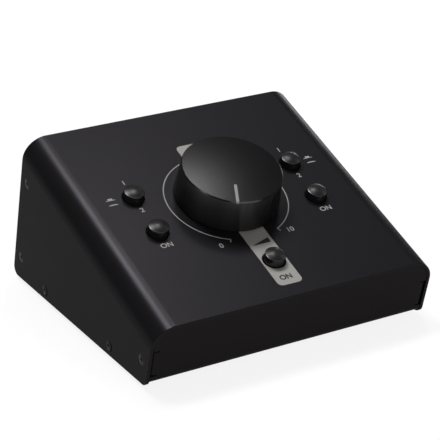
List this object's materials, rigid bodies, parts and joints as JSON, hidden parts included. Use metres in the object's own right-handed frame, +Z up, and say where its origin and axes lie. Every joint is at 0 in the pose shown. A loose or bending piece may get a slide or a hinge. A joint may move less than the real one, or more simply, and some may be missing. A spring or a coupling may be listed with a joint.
{
  "type": "studio monitor controller",
  "caption": "Wedge-shaped desktop box in folded sheet steel with one large volume knob, round push buttons on the sloping top and jack sockets at the rear.",
  "frame": {"origin": "on the table, under the middle of the overall box", "axes": "+Z up, +Y from the low front edge to the high rear edge, +X to the user's right"},
  "size_m": [0.15, 0.1494, 0.0814],
  "materials": {
    "cover_powder_coat": "fine satin texture",
    "tray_powder_coat": "fine satin texture",
    "black_screw_steel": "blackened",
    "foot_rubber": "matt",
    "knob_plastic": "satin",
    "pointer_white": "matt",
    "shaft_aluminium": "turned",
    "pot_steel": "plated",
    "bushing_brass": "turned",
    "nickel_plate": "satin",
    "track_laminate": "matt",
    "rotor_plastic": "matt",
    "board_laminate": "satin",
    "standoff_aluminium": "turned",
    "board_screw_steel": "plated",
    "cap_plastic": "satin gloss",
    "plunger_plastic": "satin",
    "switch_plastic": "matt",
    "spring_steel": "drawn wire",
    "jack_plastic": "satin",
    "ribbon_socket_plastic": "matt",
    "ribbon_insulation": "ribbed"
  },
  "bodies": {
    "housing": {"top_cover": "cover_powder_coat", "chassis_tray": "tray_powder_coat", "side_screws": "black_screw_steel", "rubber_feet": "foot_rubber", "pot_body": "pot_steel", "pot_bushing": "bushing_brass", "pot_washer": "nickel_plate", "pot_nut": "nickel_plate", "pot_tracks": "track_laminate", "control_board": "board_laminate", "jack_board": "board_laminate", "board_standoffs": "standoff_aluminium", "board_screws": "board_screw_steel", "jack_washers": "nickel_plate", "jack_nuts": "nickel_plate", "ribbon_sockets": "ribbon_socket_plastic", "ribbon_cable": "ribbon_insulation", "input_switch": "switch_plastic", "input_spring": "spring_steel", "dim_switch": "switch_plastic", "dim_spring": "spring_steel", "mute_switch": "switch_plastic", "mute_spring": "spring_steel", "monitor_switch": "switch_plastic", "monitor_spring": "spring_steel", "mono_switch": "switch_plastic", "mono_spring": "spring_steel", "input_a_left_jack": "jack_plastic", "input_a_right_jack": "jack_plastic", "input_b_left_jack": "jack_plastic", "input_b_right_jack": "jack_plastic", "monitor_a_left_jack": "jack_plastic", "monitor_a_right_jack": "jack_plastic", "monitor_b_left_jack": "jack_plastic", "monitor_b_right_jack": "jack_plastic"},
    "knob": {"volume_knob": "knob_plastic", "knob_pointer": "pointer_white", "pot_shaft": "shaft_aluminium", "pot_rotors": "rotor_plastic"},
    "input_cap": {"input_button": "cap_plastic", "input_plunger": "plunger_plastic"},
    "dim_cap": {"dim_button": "cap_plastic", "dim_plunger": "plunger_plastic"},
    "mute_cap": {"mute_button": "cap_plastic", "mute_plunger": "plunger_plastic"},
    "monitor_cap": {"monitor_button": "cap_plastic", "monitor_plunger": "plunger_plastic"},
    "mono_cap": {"mono_button": "cap_plastic", "mono_plunger": "plunger_plastic"}
  },
  "joints": [
    {"name": "knob_turn", "type": "hinge", "parent": "housing", "child": "knob", "pos_m": [0, -0.0089, 0.05685], "axis": [0, 0.342, -0.9397], "range_deg": [0, 310]},
    {"name": "input_press", "type": "slide", "parent": "housing", "child": "input_cap", "axis": [0, 0.342, -0.9397], "range_m": [0, 0.003], "stiffness_N_per_m": 600, "springref_m": -0.001, "deforming": ["input_spring"]},
    {"name": "dim_press", "type": "slide", "parent": "housing", "child": "dim_cap", "axis": [0, 0.342, -0.9397], "range_m": [0, 0.003], "stiffness_N_per_m": 600, "springref_m": -0.001, "deforming": ["dim_spring"]},
    {"name": "mute_press", "type": "slide", "parent": "housing", "child": "mute_cap", "axis": [0, 0.342, -0.9397], "range_m": [0, 0.003], "stiffness_N_per_m": 600, "springref_m": -0.001, "deforming": ["mute_spring"]},
    {"name": "monitor_press", "type": "slide", "parent": "housing", "child": "monitor_cap", "axis": [0, 0.342, -0.9397], "range_m": [0, 0.003], "stiffness_N_per_m": 600, "springref_m": -0.001, "deforming": ["monitor_spring"]},
    {"name": "mono_press", "type": "slide", "parent": "housing", "child": "mono_cap", "axis": [0, 0.342, -0.9397], "range_m": [0, 0.003], "stiffness_N_per_m": 600, "springref_m": -0.001, "deforming": ["mono_spring"]}
  ]
}
